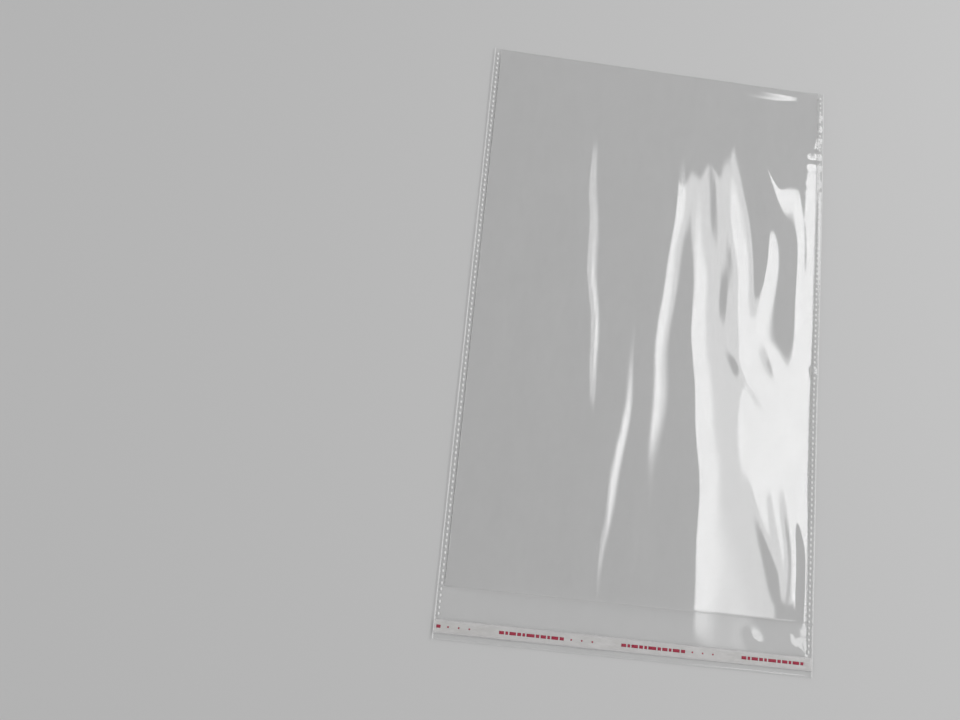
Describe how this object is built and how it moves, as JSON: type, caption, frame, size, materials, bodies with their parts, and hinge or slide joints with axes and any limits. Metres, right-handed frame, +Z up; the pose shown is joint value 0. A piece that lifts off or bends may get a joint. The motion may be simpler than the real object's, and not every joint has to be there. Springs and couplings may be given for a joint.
{
  "type": "cellophane bag",
  "caption": "Flat clear film bag with a folded bottom, dotted side welds, an open mouth and a self-seal flap with a glue line under a release liner.",
  "frame": {"origin": "middle of the bag's outline, on the surface that it lies on", "axes": "+X across the bag, +Y along it towards the bottom fold with the mouth and flap towards -Y, +Z up from the back panel through the front panel"},
  "size_m": [0.2, 0.339, 0.0071],
  "materials": {
    "clear_film": "clear colourless glossy film",
    "clear_glue": "clear tacky glue line",
    "milky_liner": "milky glossy release film with dark red marks"
  },
  "bodies": {
    "root": {"film_bag": "clear_film", "adhesive_strip": "clear_glue", "release_liner": "milky_liner"}
  },
  "joints": []
}
